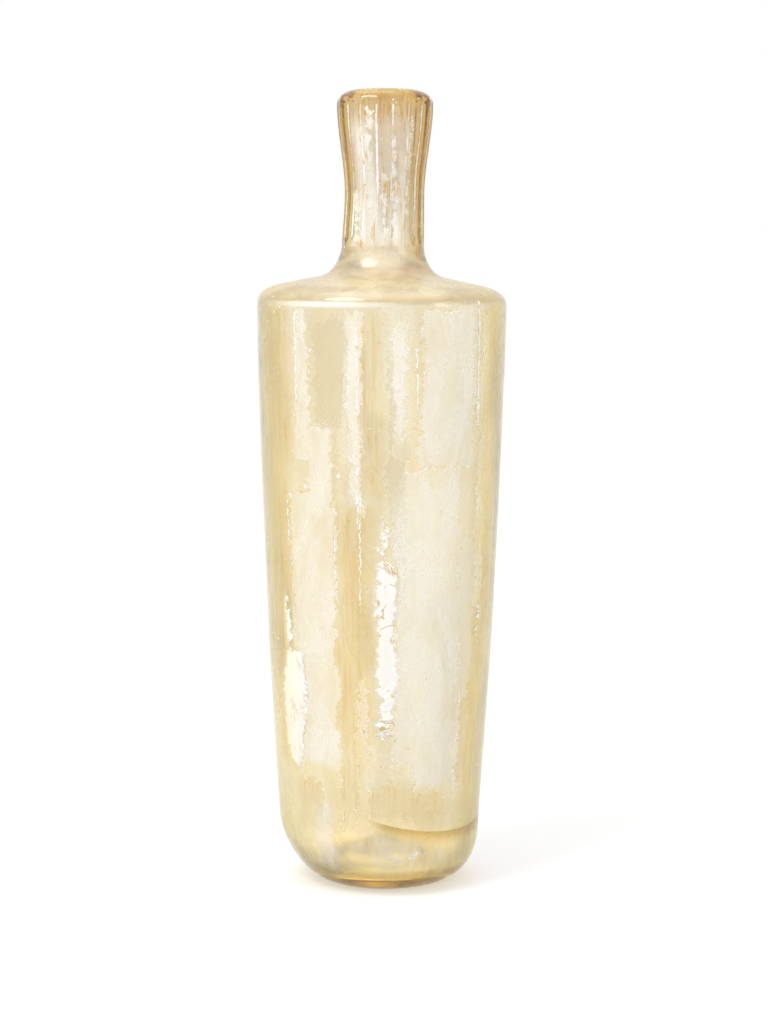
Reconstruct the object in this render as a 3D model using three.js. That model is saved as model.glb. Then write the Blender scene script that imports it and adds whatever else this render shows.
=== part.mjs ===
// A tall bottle of free-blown glass with a wheel-cut neck, in millimetres. It stands on z = 0 with its
// axis on +Z.
//
// The bottle was blown as one gather, so its lip, neck, shoulder, wall and base are one unbroken piece of
// glass. The base was pushed in to form a kick, which leaves a narrow resting ring, and the glass is
// thickest there. While the mouth was finished, the bottle was held by an iron stuck to the middle of the
// kick. The wad of glass that it left when it was cracked off is a gather of its own, and it is the only
// other piece.
import * as THREE from 'three';
import { mergeVertices } from 'three/addons/utils/BufferGeometryUtils.js';

// The outside of the body, from the floor up to the shoulder
const kickHeight = 7.5;
const restRadius = 19;
const restWidth = 2.6;
const heelHeight = 25.4;
const footRadius = 35.8;
const heelLean = 5;
const bodyRadius = 43.75;
const wallSwell = 1.2;
const cornerHeight = 205;
const cornerAcross = 13.4;
const cornerUp = 6.8;
const shoulderSlope = 11.7;

// The outside of the neck and the lip, each rise measured from the one before it
const flareAcross = 8.8;
const flareUp = 12.1;
const neckFootRadius = 14.3;
const waistRise = 16.7;
const waistRadius = 13.9;
const lipRise = 31.2;
const lipRadius = 16.75;
const crestRise = 4.8;
const crestRadius = 9;

// The glass itself, and the way through it
const bodyWall = 2.6;
const footWall = 3.3;
const floorThickness = 6.5;
const boreRadius = 6.2;
const mouthRadius = 7.2;
const mouthDepth = 3.2;

// The flats that the wheel cut round the neck, from below its foot to above the lip's widest
const flatCount = 18;
const flatHollow = 0.26;
const flatBelowFoot = 2.2;
const flatAboveLip = 2.7;
const flatFade = 4;
const stepsPerFlat = 3;

// The wad that the iron left under the kick
const wadInnerRadius = 3.2;
const wadRadius = 7.6;
const wadThickness = 1.3;
const wadSegments = 27;
const seatGap = 0.3;

const degrees = Math.PI / 180;

const point = (radius, height) => new THREE.Vector2(radius, height);

// An arc of an ellipse, run from one angle to the other. Angles are in degrees, with 0 outwards and 90 up.
function arc(centre, across, up, from, to) {
  return new THREE.EllipseCurve(centre.x, centre.y, across, up, from * degrees, to * degrees, to < from);
}

const line = (from, to) => new THREE.LineCurve(from, to);

// A curve that leaves its first point and meets its last one straight up or down
function uprightCurve(from, to) {
  const reach = (to.y - from.y) / 3;
  return new THREE.CubicBezierCurve(from, point(from.x, from.y + reach), point(to.x, to.y - reach), to);
}

// A wall between two points, which stands out by the swell at its middle
function wallCurve(from, to) {
  const bow = point((from.x + to.x) / 2 + 2 * wallSwell, (from.y + to.y) / 2);
  return new THREE.QuadraticBezierCurve(from, bow, to);
}

// The points along a chain of [curve, steps]
function trace(chain) {
  const points = [chain[0][0].getPoint(0)];
  for (const [curve, steps] of chain) {
    points.push(...curve.getPoints(steps).slice(1));
  }
  return points;
}

// Where an ellipse touches a line at the shoulder's slope: the line's distance from the ellipse's centre,
// the touching point's offset from that centre, and its angle on the ellipse
const slopeSine = Math.sin(shoulderSlope * degrees);
const slopeCosine = Math.cos(shoulderSlope * degrees);
function touchSlope(across, up) {
  const distance = Math.hypot(across * slopeSine, up * slopeCosine);
  const offset = point(across ** 2 * slopeSine / distance, up ** 2 * slopeCosine / distance);
  const angle = Math.atan2(up * slopeCosine, across * slopeSine) / degrees;
  return { distance, offset, angle };
}

// The shoulder: a corner over the wall, a straight slope, and a flare that turns it into the neck
const cornerCentre = point(bodyRadius - cornerAcross, cornerHeight);
const cornerTouch = touchSlope(cornerAcross, cornerUp);
const flareTouch = touchSlope(flareAcross, flareUp);
const slopeFoot = cornerCentre.clone().add(cornerTouch.offset);
const slopeHeadRadius = neckFootRadius + flareAcross - flareTouch.offset.x;
const slopeClimb = (slopeFoot.x - slopeHeadRadius) * slopeSine / slopeCosine;
const slopeHead = point(slopeHeadRadius, slopeFoot.y + slopeClimb);
const flareCentre = slopeHead.clone().add(flareTouch.offset);

const neckFoot = point(neckFootRadius, flareCentre.y);
const waist = point(waistRadius, neckFoot.y + waistRise);
const lipWidest = point(lipRadius, waist.y + lipRise);
const lipCentre = point(crestRadius, lipWidest.y);
const crestHeight = lipWidest.y + crestRise;

// The heel curls in from the wall's foot to the outer edge of the resting ring
const heelCentre = point(restRadius, heelHeight);

// The underside of the kick, a parabola from the axis out to the resting ring
const restInnerRadius = restRadius - restWidth;
const kickCurve = new THREE.QuadraticBezierCurve(
  point(0, kickHeight), point(restInnerRadius / 2, kickHeight), point(restInnerRadius, 0));

// The outside, from the middle of the kick to the crest of the lip
function outsideChain() {
  const heel = arc(heelCentre, footRadius - restRadius, heelHeight, -90, -heelLean);
  return [
    [kickCurve, 5],
    [line(point(restInnerRadius, 0), point(restRadius, 0)), 1],
    [heel, 7],
    [wallCurve(heel.getPoint(1), point(bodyRadius, cornerHeight)), 6],
    [arc(cornerCentre, cornerAcross, cornerUp, 0, cornerTouch.angle), 6],
    [line(slopeFoot, slopeHead), 1],
    [arc(flareCentre, flareAcross, flareUp, 180 + flareTouch.angle, 180), 6],
    [uprightCurve(neckFoot, waist), 4],
    [uprightCurve(waist, lipWidest), 7],
    [arc(lipCentre, lipRadius - crestRadius, crestRise, 0, 90), 6],
  ];
}

// The inside, from the crest of the lip down to the middle of the floor. Under the shoulder the wall keeps
// its thickness, so the bore opens along the ellipse that touches the inside of the slope.
function insideChain() {
  const mouth = point(mouthRadius, crestHeight - mouthDepth);
  const bore = point(boreRadius, waist.y);
  const insideAcross = cornerAcross - bodyWall;
  const insideUp = cornerUp - bodyWall;
  const insideTouch = touchSlope(insideAcross, insideUp);
  const slopeWall = cornerTouch.distance - insideTouch.distance;
  const boreAcross = flareCentre.x - boreRadius;
  const boreReach = flareTouch.distance + slopeWall;
  const boreUp = Math.sqrt(boreReach ** 2 - (boreAcross * slopeSine) ** 2) / slopeCosine;
  const boreTouch = touchSlope(boreAcross, boreUp);
  const insideFoot = point(footRadius - footWall, heelHeight);
  const floorEdge = point(restRadius, floorThickness);
  const floorMiddle = point(0, kickHeight + floorThickness);
  const floorPull = restRadius / 2;
  const floorCurve = new THREE.CubicBezierCurve(
    floorEdge, point(restRadius - floorPull, floorEdge.y), point(floorPull, floorMiddle.y), floorMiddle);
  const slopeStart = flareCentre.clone().sub(boreTouch.offset);
  const slopeEnd = cornerCentre.clone().add(insideTouch.offset);
  return [
    [arc(point(crestRadius, mouth.y), crestRadius - mouthRadius, mouthDepth, 90, 180), 4],
    [uprightCurve(mouth, bore), 4],
    [line(bore, point(boreRadius, flareCentre.y)), 1],
    [arc(flareCentre, boreAcross, boreUp, 180, 180 + boreTouch.angle), 5],
    [line(slopeStart, slopeEnd), 1],
    [arc(cornerCentre, insideAcross, insideUp, insideTouch.angle, 0), 5],
    [wallCurve(point(bodyRadius - bodyWall, cornerHeight), insideFoot), 6],
    [arc(heelCentre, insideFoot.x - restRadius, heelHeight - floorThickness, 0, -90), 6],
    [floorCurve, 4],
  ];
}

// Turns a profile into a closed body round +Z, with its faces pointing out and a row of points along +X
function turned(profile, segments) {
  const lathe = new THREE.LatheGeometry(profile, segments, Math.PI / 2);
  lathe.deleteAttribute('normal');
  lathe.deleteAttribute('uv');
  const geometry = mergeVertices(lathe, 1e-6).rotateX(Math.PI / 2);
  dropEmptyFaces(geometry);
  return geometry;
}

// A profile that starts on the axis leaves faces with no area there, which are dropped
function dropEmptyFaces(geometry) {
  const corners = geometry.index.array;
  const kept = [];
  for (let i = 0; i < corners.length; i += 3) {
    const [a, b, c] = corners.slice(i, i + 3);
    if (a !== b && b !== c && c !== a) kept.push(a, b, c);
  }
  geometry.setIndex(kept);
}

// How much of the flats' depth is cut at a height: none beyond their ends, and all of it past the fade
function cutShare(height) {
  const start = neckFoot.y - flatBelowFoot;
  const end = lipWidest.y + flatAboveLip;
  return THREE.MathUtils.smoothstep(height, start, start + flatFade)
    * (1 - THREE.MathUtils.smoothstep(height, end - flatFade, end));
}

// Cuts the flats: between two arrises the wheel takes the round of the neck down to a flat, slightly hollow
function cutFlats(geometry) {
  const position = geometry.attributes.position;
  const halfFlat = Math.PI / flatCount;
  const insideNeck = (waistRadius + boreRadius) / 2;
  for (let i = 0; i < position.count; i += 1) {
    const x = position.getX(i);
    const y = position.getY(i);
    const radius = Math.hypot(x, y);
    const share = radius > insideNeck ? cutShare(position.getZ(i)) : 0;
    if (share > 0) {
      const turn = Math.atan2(y, x) + 2 * Math.PI;
      const fromMiddle = (turn % (2 * halfFlat)) - halfFlat;
      const flat = radius * Math.cos(halfFlat) / Math.cos(fromMiddle);
      const hollow = flatHollow * (1 - (fromMiddle / halfFlat) ** 2);
      const scale = 1 + share * ((flat - hollow) / radius - 1);
      position.setXY(i, x * scale, y * scale);
    }
  }
}

// The bottle: one wall of glass, from the middle of the kick over the lip to the middle of the floor
function bottle() {
  const profile = [...trace(outsideChain()), ...trace(insideChain()).slice(1)];
  const geometry = turned(profile, flatCount * stepsPerFlat);
  cutFlats(geometry);
  geometry.computeVertexNormals();
  const glass = new THREE.MeshStandardMaterial({
    color: 0xe6d3a3, roughness: 0.12, metalness: 0, transparent: true, opacity: 0.6,
  });
  const mesh = new THREE.Mesh(geometry, glass);
  mesh.name = 'bottle';
  return mesh;
}

// The wad: a low ring of glass that follows the kick which it was stuck to, and is thickest at its middle
function pontilWad() {
  const steps = 5;
  const edgeShare = 0.35;
  const middle = (wadInnerRadius + wadRadius) / 2;
  const halfWidth = (wadRadius - wadInnerRadius) / 2;
  const top = [];
  const under = [];
  for (let i = 0; i <= steps; i += 1) {
    const across = 2 * i / steps - 1;
    const radius = middle + across * halfWidth;
    const height = kickHeight * (1 - (radius / restInnerRadius) ** 2) - seatGap;
    const depth = wadThickness * (edgeShare + (1 - edgeShare) * Math.sqrt(1 - across ** 2));
    top.push(point(radius, height));
    under.push(point(radius, height - depth));
  }
  const geometry = turned([...under, ...top.reverse(), under[0]], wadSegments);
  geometry.computeVertexNormals();
  const glass = new THREE.MeshStandardMaterial({ color: 0xcdb06a, roughness: 0.35, metalness: 0 });
  const mesh = new THREE.Mesh(geometry, glass);
  mesh.name = 'pontil_wad';
  return mesh;
}

const blownBottle = new THREE.Group();
blownBottle.add(bottle(), pontilWad());

export default blownBottle;
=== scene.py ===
"""A tall bottle of amber blown glass with a wheel-cut neck, weathered by long burial.

The glass is one blown gather, modelled as a real wall with an outside and an inside. A milky film, a grey one
and white crust lie on the outside, a brown stain lies inside, and thin streaks run down the bore. Some marks
are painted light: highlights on the ridge, the heel and the neck's foot, a lighter front to the neck, darker
sides, and a dark contact shade at the foot.
"""

import math
import random

import bmesh
import bpy
from mathutils import Matrix, Vector, noise


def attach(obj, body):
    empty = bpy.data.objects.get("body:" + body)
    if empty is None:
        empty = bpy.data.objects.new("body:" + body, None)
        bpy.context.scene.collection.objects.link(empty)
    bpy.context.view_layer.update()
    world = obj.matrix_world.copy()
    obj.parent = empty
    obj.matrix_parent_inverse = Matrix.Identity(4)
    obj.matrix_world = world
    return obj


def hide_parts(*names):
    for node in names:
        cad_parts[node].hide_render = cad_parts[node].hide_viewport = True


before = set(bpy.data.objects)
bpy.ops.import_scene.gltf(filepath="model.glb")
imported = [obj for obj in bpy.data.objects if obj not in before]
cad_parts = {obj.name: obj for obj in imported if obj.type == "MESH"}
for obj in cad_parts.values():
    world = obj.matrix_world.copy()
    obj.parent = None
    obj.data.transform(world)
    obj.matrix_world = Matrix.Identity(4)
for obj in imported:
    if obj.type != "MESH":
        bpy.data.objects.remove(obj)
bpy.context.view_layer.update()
MM = 0.001

# The camera
# It stands a little under a metre in front of the bottle, level with the foot of the neck, and looks
# slightly down, so that the base shows from above and the rim from just below.
LENS = 83.7
CAMERA_DISTANCE = 838.3 * MM
CAMERA_HEIGHT = 224.2 * MM
CAMERA_ASIDE = 1.1 * MM
CAMERA_PITCH = math.radians(6.334)
CAMERA_ROLL = math.radians(0.31)

camera_data = bpy.data.cameras.new("camera")
camera_data.lens = LENS
camera = bpy.data.objects.new("camera", camera_data)
bpy.context.scene.collection.objects.link(camera)
camera.matrix_world = (
    Matrix.Translation((CAMERA_ASIDE, -CAMERA_DISTANCE, CAMERA_HEIGHT))
    @ Matrix.Rotation(math.radians(90) - CAMERA_PITCH, 4, "X")
    @ Matrix.Rotation(CAMERA_ROLL, 4, "Z")
)
bpy.context.scene.camera = camera

# The bottle
# Amber glass, blown free from one gather, with a tooled mouth and a neck cut in flats on a wheel. One wall
# runs from the middle of the pushed-in base up the outside, over the lip and down the bore to the floor
# inside. It is thin in the body, thick in the neck, and thickest in the heel.
KICK_HEIGHT = 7.5 * MM
REST_RADIUS = 19 * MM
REST_WIDTH = 2.6 * MM
HEEL_HEIGHT = 25.4 * MM
HEEL_LEAN = 5
FOOT_RADIUS = 35.8 * MM
BODY_RADIUS = 43.75 * MM
WALL_SWELL = 1.2 * MM
CORNER_HEIGHT = 205 * MM
CORNER_ACROSS = 13.4 * MM
CORNER_UP = 6.8 * MM
SHOULDER_SLOPE = math.radians(11.7)
FLARE_ACROSS = 8.8 * MM
FLARE_UP = 12.1 * MM
NECK_FOOT_RADIUS = 14.3 * MM
WAIST_RISE = 16.7 * MM
WAIST_RADIUS = 13.9 * MM
LIP_RISE = 31.2 * MM
LIP_RADIUS = 16.75 * MM
CREST_RISE = 4.8 * MM
CREST_RADIUS = 9 * MM
BODY_WALL = 2.6 * MM
FOOT_WALL = 3.3 * MM
FLOOR_THICKNESS = 6.5 * MM
BORE_RADIUS = 6.2 * MM
MOUTH_RADIUS = 7.2 * MM
MOUTH_DEPTH = 3.2 * MM

FLATS = 18
STEPS_PER_FLAT = 11
FLAT_HOLLOW = 0.26 * MM
FLAT_BELOW_FOOT = 2.2 * MM
FLAT_ABOVE_LIP = 2.7 * MM
FLAT_FADE = 4 * MM
FAR_FROM_ARRIS = 9


def spot(radius, height):
    """A point of the profile, on the +X side."""
    return Vector((radius, 0, height))


def arc(centre, across, up, start, end, steps):
    """An arc of an ellipse, with 0 degrees outwards and 90 up."""
    angles = [math.radians(start + (end - start) * i / steps) for i in range(steps + 1)]
    return [centre + spot(across * math.cos(a), up * math.sin(a)) for a in angles]


def bezier(points, steps):
    """A Bezier curve through its first and last point."""
    curve = []
    for i in range(steps + 1):
        row = list(points)
        while len(row) > 1:
            row = [a.lerp(b, i / steps) for a, b in zip(row, row[1:])]
        curve.append(row[0])
    return curve


def upright(start, end, steps):
    """A curve that leaves its first point and meets its last one straight up or down."""
    reach = spot(0, (end.z - start.z) / 3)
    return bezier([start, start + reach, end - reach, end], steps)


def wall(start, end, steps):
    """The body's wall, which swells outwards at its middle."""
    return bezier([start, (start + end) / 2 + spot(2 * WALL_SWELL, 0), end], steps)


def touch_slope(across, up):
    """Where an ellipse touches the shoulder's slope: its reach, the offset of the point, and its angle."""
    reach = math.hypot(across * math.sin(SHOULDER_SLOPE), up * math.cos(SHOULDER_SLOPE))
    offset = spot(
        across**2 * math.sin(SHOULDER_SLOPE) / reach,
        up**2 * math.cos(SHOULDER_SLOPE) / reach,
    )
    angle = math.atan2(up * math.cos(SHOULDER_SLOPE), across * math.sin(SHOULDER_SLOPE))
    return reach, offset, math.degrees(angle)


heel_centre = spot(REST_RADIUS, HEEL_HEIGHT)
corner_centre = spot(BODY_RADIUS - CORNER_ACROSS, CORNER_HEIGHT)
corner_reach, corner_offset, corner_angle = touch_slope(CORNER_ACROSS, CORNER_UP)
flare_reach, flare_offset, flare_angle = touch_slope(FLARE_ACROSS, FLARE_UP)
slope_foot = corner_centre + corner_offset
slope_head_radius = NECK_FOOT_RADIUS + FLARE_ACROSS - flare_offset.x
slope_climb = (slope_foot.x - slope_head_radius) * math.tan(SHOULDER_SLOPE)
slope_head = spot(slope_head_radius, slope_foot.z + slope_climb)
flare_centre = slope_head + flare_offset
neck_foot = spot(NECK_FOOT_RADIUS, flare_centre.z)
waist = spot(WAIST_RADIUS, neck_foot.z + WAIST_RISE)
lip_widest = spot(LIP_RADIUS, waist.z + LIP_RISE)
crest_height = lip_widest.z + CREST_RISE
rest_inner = spot(REST_RADIUS - REST_WIDTH, 0)


def outside_profile():
    """From the middle of the kick to the crest of the lip."""
    heel = arc(heel_centre, FOOT_RADIUS - REST_RADIUS, HEEL_HEIGHT, -90, -HEEL_LEAN, 24)
    lip_centre = spot(CREST_RADIUS, lip_widest.z)
    return [
        bezier([spot(0, KICK_HEIGHT), spot(rest_inner.x / 2, KICK_HEIGHT), rest_inner], 8),
        [rest_inner, spot(REST_RADIUS, 0)],
        heel,
        wall(heel[-1], spot(BODY_RADIUS, CORNER_HEIGHT), 60),
        arc(corner_centre, CORNER_ACROSS, CORNER_UP, 0, corner_angle, 16),
        bezier([slope_foot, slope_head], 6),
        arc(flare_centre, FLARE_ACROSS, FLARE_UP, 180 + flare_angle, 180, 16),
        upright(neck_foot, waist, 12),
        upright(waist, lip_widest, 26),
        arc(lip_centre, LIP_RADIUS - CREST_RADIUS, CREST_RISE, 0, 90, 14),
    ]


def inside_profile():
    """From the crest of the lip to the middle of the floor."""
    mouth = spot(MOUTH_RADIUS, crest_height - MOUTH_DEPTH)
    bore = spot(BORE_RADIUS, waist.z)
    across, up = CORNER_ACROSS - BODY_WALL, CORNER_UP - BODY_WALL
    inner_reach, inner_offset, inner_angle = touch_slope(across, up)
    bore_across = flare_centre.x - BORE_RADIUS
    bore_reach = flare_reach + corner_reach - inner_reach
    level_share = bore_across * math.sin(SHOULDER_SLOPE)
    bore_up = math.sqrt(bore_reach**2 - level_share**2) / math.cos(SHOULDER_SLOPE)
    _, bore_offset, bore_angle = touch_slope(bore_across, bore_up)
    foot = spot(FOOT_RADIUS - FOOT_WALL, HEEL_HEIGHT)
    floor_edge = spot(REST_RADIUS, FLOOR_THICKNESS)
    floor_middle = spot(0, KICK_HEIGHT + FLOOR_THICKNESS)
    pull = spot(REST_RADIUS / 2, 0)
    return [
        arc(spot(CREST_RADIUS, mouth.z), CREST_RADIUS - MOUTH_RADIUS, MOUTH_DEPTH, 90, 180, 8),
        upright(mouth, bore, 16),
        bezier([bore, spot(BORE_RADIUS, flare_centre.z)], 8),
        arc(flare_centre, bore_across, bore_up, 180, 180 + bore_angle, 12),
        bezier([flare_centre - bore_offset, corner_centre + inner_offset], 6),
        arc(corner_centre, across, up, inner_angle, 0, 10),
        wall(spot(BODY_RADIUS - BODY_WALL, CORNER_HEIGHT), foot, 120),
        arc(heel_centre, foot.x - REST_RADIUS, HEEL_HEIGHT - FLOOR_THICKNESS, 0, -90, 18),
        bezier([floor_edge, floor_edge - pull, floor_middle + pull, floor_middle], 8),
    ]


def spin_profile(mesh, stretches, steps):
    """Turns a chain of stretches about the bottle's axis into a closed skin."""
    points = [stretches[0][0]]
    for stretch in stretches:
        points += [p for p in stretch if (p - points[-1]).length > 1e-7]
    verts = [mesh.verts.new(p) for p in points]
    profile = verts + [mesh.edges.new(pair) for pair in zip(verts, verts[1:])]
    bmesh.ops.spin(
        mesh, geom=profile, cent=(0, 0, 0), axis=(0, 0, 1), angle=math.tau, steps=steps, use_merge=True
    )
    bmesh.ops.remove_doubles(mesh, verts=mesh.verts, dist=1e-6)
    bmesh.ops.recalc_face_normals(mesh, faces=mesh.faces)


def smooth(value, low, high):
    """0 below low, 1 above high, and a smooth step between them."""
    t = min(max((value - low) / (high - low), 0), 1)
    return t * t * (3 - 2 * t)


def smooth_band(value, start, full, fade, end):
    """A smooth step up from start to full, and one down from fade to end."""
    return smooth(value, start, full) * (1 - smooth(value, fade, end))


def cut_flats(vert):
    """Moves a point of the neck's outside in to the flat that the wheel cut, and marks the arrises."""
    radius = math.hypot(vert.co.x, vert.co.y)
    vert[arris] = FAR_FROM_ARRIS
    if radius < (WAIST_RADIUS + BORE_RADIUS) / 2:
        return
    start, end = neck_foot.z - FLAT_BELOW_FOOT, lip_widest.z + FLAT_ABOVE_LIP
    share = smooth_band(vert.co.z, start, start + FLAT_FADE, end - FLAT_FADE, end)
    half = math.pi / FLATS
    from_middle = math.atan2(vert.co.y, vert.co.x) % (2 * half) - half
    flat = radius * math.cos(half) / math.cos(from_middle)
    hollow = FLAT_HOLLOW * (1 - (from_middle / half) ** 2)
    scale = 1 + share * ((flat - hollow) / radius - 1)
    vert[arris] = radius * (half - abs(from_middle)) / MM + FAR_FROM_ARRIS * (1 - share)
    vert.co.x *= scale
    vert.co.y *= scale


# The unevenness of free blowing, and how far crust and film stand out from the glass. A wave's lengths are
# those around the bottle and up it, and its shift keeps the inside from following the outside.
HAND_WAVE = 0.22 * MM
SLOW_WAVE = {"around": 30 * MM, "up": 70 * MM, "shift": 5}
QUICK_WAVE = {"around": 11 * MM, "up": 30 * MM, "shift": 9}
QUICK_WAVE_SHARE = 0.4
WAVES_START = 3 * MM
WAVES_FULL = 30 * MM
WAVES_RADIUS = 20 * MM
CRUST_RISE = 0.22 * MM
FILM_RISE = 0.06 * MM
PATCH_EDGE = (-0.3, 1)
FLAKES_AROUND = 2 * MM
FLAKES_UP = 3 * MM
NECK_SET_OVER = 0.7 * MM
NECK_HEIGHTS = (215 * MM, 245 * MM)
SHOULDER_TILT = math.tan(math.radians(0.5))
SHOULDER_HEIGHTS = (185 * MM, 205 * MM, 222 * MM, 245 * MM)
FOOT_SET_OVER = 2 * MM
FOOT_RADII = (12 * MM, 22 * MM)
FOOT_HEIGHTS = (3 * MM, 24 * MM)


def wave_at(vert, around, up, shift):
    """Slow noise at a point of the skin."""
    x, y, z = vert.co
    return noise.noise((x / around, y / around, z / up + shift * vert[skin]))


def shape_by_hand(vert):
    """Sets the neck and the foot aside, tilts the shoulder, and adds slow waves, crust and film."""
    x, y, z = vert.co
    radius = math.hypot(x, y)
    wave = wave_at(vert, **SLOW_WAVE) + QUICK_WAVE_SHARE * wave_at(vert, **QUICK_WAVE)
    outwards = HAND_WAVE * wave * smooth(z, WAVES_START, WAVES_FULL) * min(radius / WAVES_RADIUS, 1)
    if not vert[skin]:
        weathered = CRUST_RISE * smooth(vert[crust], *PATCH_EDGE)
        weathered += FILM_RISE * smooth(vert[milky], *PATCH_EDGE)
        outwards += weathered * (1 + noise.noise((x / FLAKES_AROUND, y / FLAKES_AROUND, z / FLAKES_UP)))
    if radius > 1e-6:
        vert.co.x += outwards * x / radius
        vert.co.y += outwards * y / radius
    vert.co.z -= SHOULDER_TILT * x * smooth_band(z, *SHOULDER_HEIGHTS)
    vert.co.x += NECK_SET_OVER * smooth(z, *NECK_HEIGHTS)
    vert.co.x += FOOT_SET_OVER * smooth(radius, *FOOT_RADII) * (1 - smooth(z, *FOOT_HEIGHTS))


# The weathering lies in patches and runs, and a few of them paint highlights and the darker shade at the
# sides. Each has its angle from the front at head and foot in degrees, its head and foot above the floor, and
# its width at head and foot, in mm.
MILKY_FILM_AND_HIGHLIGHT = [
    (-39, -38.5, 204, 152, 4.5, 8),
    (-12.5, -12, 204, 148, 6.5, 4),
    (-13, -10.5, 150, 133, 5, 1.5),
    (-30, -29, 165, 120, 10, 12),
    (-35.5, -34.5, 142, 40, 18, 18),
    # This run, low at the front left, is partly film and partly a painted highlight.
    (-27, -26, 80, 20, 8, 8),
    (-8.5, -8.4, 78, 50, 1.6, 5),
    (-8.4, -8, 52, 22, 5, 5.4),
    (24, 27, 150, 47, 22, 27),
    (33, 33, 204, 150, 22, 22),
    (54, 55, 204, 100, 5, 5),
    (30, 34, 50, 36, 16, 18),
    (8, 8, 200, 160, 6, 4),
]
WHITE_CRUST_AND_HIGHLIGHTS = [
    (-53, -52, 104, 88, 2.5, 4.5),
    (-48.5, -50, 87, 62, 11, 13.5),
    (-50, -50, 66, 45, 13, 6),
    # These two small patches low on the heel are painted highlights, drawn as flakes of crust.
    (9, 9, 15.4, 12.6, 6, 6),
    (19, 19, 15.8, 13.4, 4, 5),
    (-18.5, -18.5, 150, 146, 4.5, 4),
    (2, 3, 133, 122, 2.5, 4.5),
    (2.5, 3.5, 120, 70, 6.5, 8),
    (3.5, 3.5, 72, 56, 6, 5.5),
    (9, 9, 181, 176.5, 1.6, 1.6),
    (57, 57, 103, 88, 2, 1),
]
GREY_FILM = [
    (-24, -24.5, 201, 163, 12.5, 12),
    (6, 9.5, 154, 112, 8, 2),
    (46, 46, 127, 68, 10, 9),
    (4.3, 4.6, 194, 150, 2.5, 3),
    (19, 19, 195, 189.5, 3, 3),
]
BORE_FILM = [
    (-44, -42, 262, 224, 3.8, 4.5),
    (11, 12, 236, 226, 2, 2),
    (13, 12, 271, 240, 1.5, 1),
    (33, 33, 262, 226, 1.8, 1.4),
    (-10, -10, 256, 238, 1.4, 1),
    (60, 58, 268, 232, 1.6, 1.2),
]
AMBER_STAIN_AND_SHADE = [
    # The two wide runs at the sides, near -62 and 63 degrees, paint the darker shade of the body's edges.
    (-62, -62, 204, 45, 20, 18),
    (63, 64, 204, 40, 16, 16),
    (-4.5, -4, 204, 140, 9, 9),
    (-13.5, -13.5, 136, 20, 9, 12),
    (-34, -34, 48, 10, 20, 20),
    (62, 62, 52, 18, 12, 16),
    (10, 10, 40, 8, 40, 40),
]
NECK_STAIN_AND_SHADE = [
    # The first four runs, at the sides, paint the darker shade of the neck's edges.
    (-72, -76, 275, 262, 13, 10),
    (72, 74, 275, 260, 13, 10),
    (-78, -80, 262, 224, 8, 8),
    (64, 66, 262, 222, 8, 10),
    (38, 38, 268, 230, 3, 2.5),
    (-52, -50, 270, 250, 3, 2),
]
NECK_FILM = [
    (-25, -28, 264, 243, 4.2, 5.4),
    (-28, -25, 243, 223, 5.4, 5.2),
    (-21, -20, 273, 264, 2.6, 2.4),
    (12, 15, 262, 236, 1.6, 2.2),
    (15, 17, 238, 223, 2.2, 3),
    (5, 6, 231, 222, 2.4, 2.6),
    (-1, 1, 250, 224, 1.2, 2),
    (36, 34, 268, 236, 1.4, 1.2),
    (-45, -42, 246, 224, 1.8, 2.2),
]

# The runs at the sides and the back are drawn by chance: how many of each kind, between which angles, the
# lowest foot, how far they lean in degrees, and how they widen downwards.
MILKY_RUNS_BEHIND = 13
CRUSTS_BEHIND = 5
GREY_RUNS_BEHIND = 5
BORE_RUNS_BEHIND = 8
NECK_RUNS_BEHIND = 7
STAINS_BEHIND = 7
BEHIND_FROM = 98
BEHIND_TO = 262
LOWEST_FOOT = 18
LEAN_BEHIND = 2
TAPER_BEHIND = (0.5, 1.6)

# Patches end at the shoulder, and start again on the neck and in the bore. Their ends are blunt. Radii and
# depths are in mm.
FILM_INNER_RADIUS = 15
BODY_FILM_TOP = 209 * MM
NECK_FILM_START = 215 * MM
BORE_FILM_START = 222 * MM
BLUNT_END = 3
DEEPEST = 4

# Slow noise makes the patches' edges wander: how far, in mm, then the noise's size, how it is drawn out
# upwards, and the finer noise in it.
RAGGED_REACH = 1.4
STAIN_REACH = 3
BORE_REACH = 0.4
NECK_REACH = 0.5
RAGGED_SIZE = 7 * MM
RAGGED_DRAWN_UP = 0.6
FINER = 2.7
FINER_SHARE = 0.5
APART = Vector((7, 3, 1))

chance = random.Random(11)


def runs_behind(count, heads, lengths, widths):
    """Runs of weathering on the sides and the back, which no photograph shows."""
    runs = []
    for _ in range(count):
        angle = chance.uniform(BEHIND_FROM, BEHIND_TO)
        head = chance.uniform(*heads)
        foot = max(head - chance.uniform(*lengths), LOWEST_FOOT)
        width = chance.uniform(*widths)
        foot_angle = angle + chance.uniform(-LEAN_BEHIND, LEAN_BEHIND)
        foot_width = width * chance.uniform(*TAPER_BEHIND)
        runs.append((angle, foot_angle, head, foot, width, foot_width))
    return runs


def depth_in(patches, angle, radius, height):
    """How deep a point lies within the nearest of some patches, in mm, and below 0 outside them."""
    deepest = -DEEPEST
    for head_angle, foot_angle, head, foot, head_width, foot_width in patches:
        share = min(max((head - height) / (head - foot), 0), 1)
        aside = (angle - head_angle - (foot_angle - head_angle) * share + 180) % 360 - 180
        half = (head_width + (foot_width - head_width) * share) / 2
        round_end = min(half, BLUNT_END)
        over_side = math.radians(abs(aside)) * radius - half + round_end
        over_end = abs(height - (head + foot) / 2) - (head - foot) / 2 + round_end
        reach = math.hypot(max(over_side, 0), max(over_end, 0)) + min(max(over_side, over_end), 0)
        deepest = max(deepest, round_end - reach)
    return min(deepest, DEEPEST)


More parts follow.
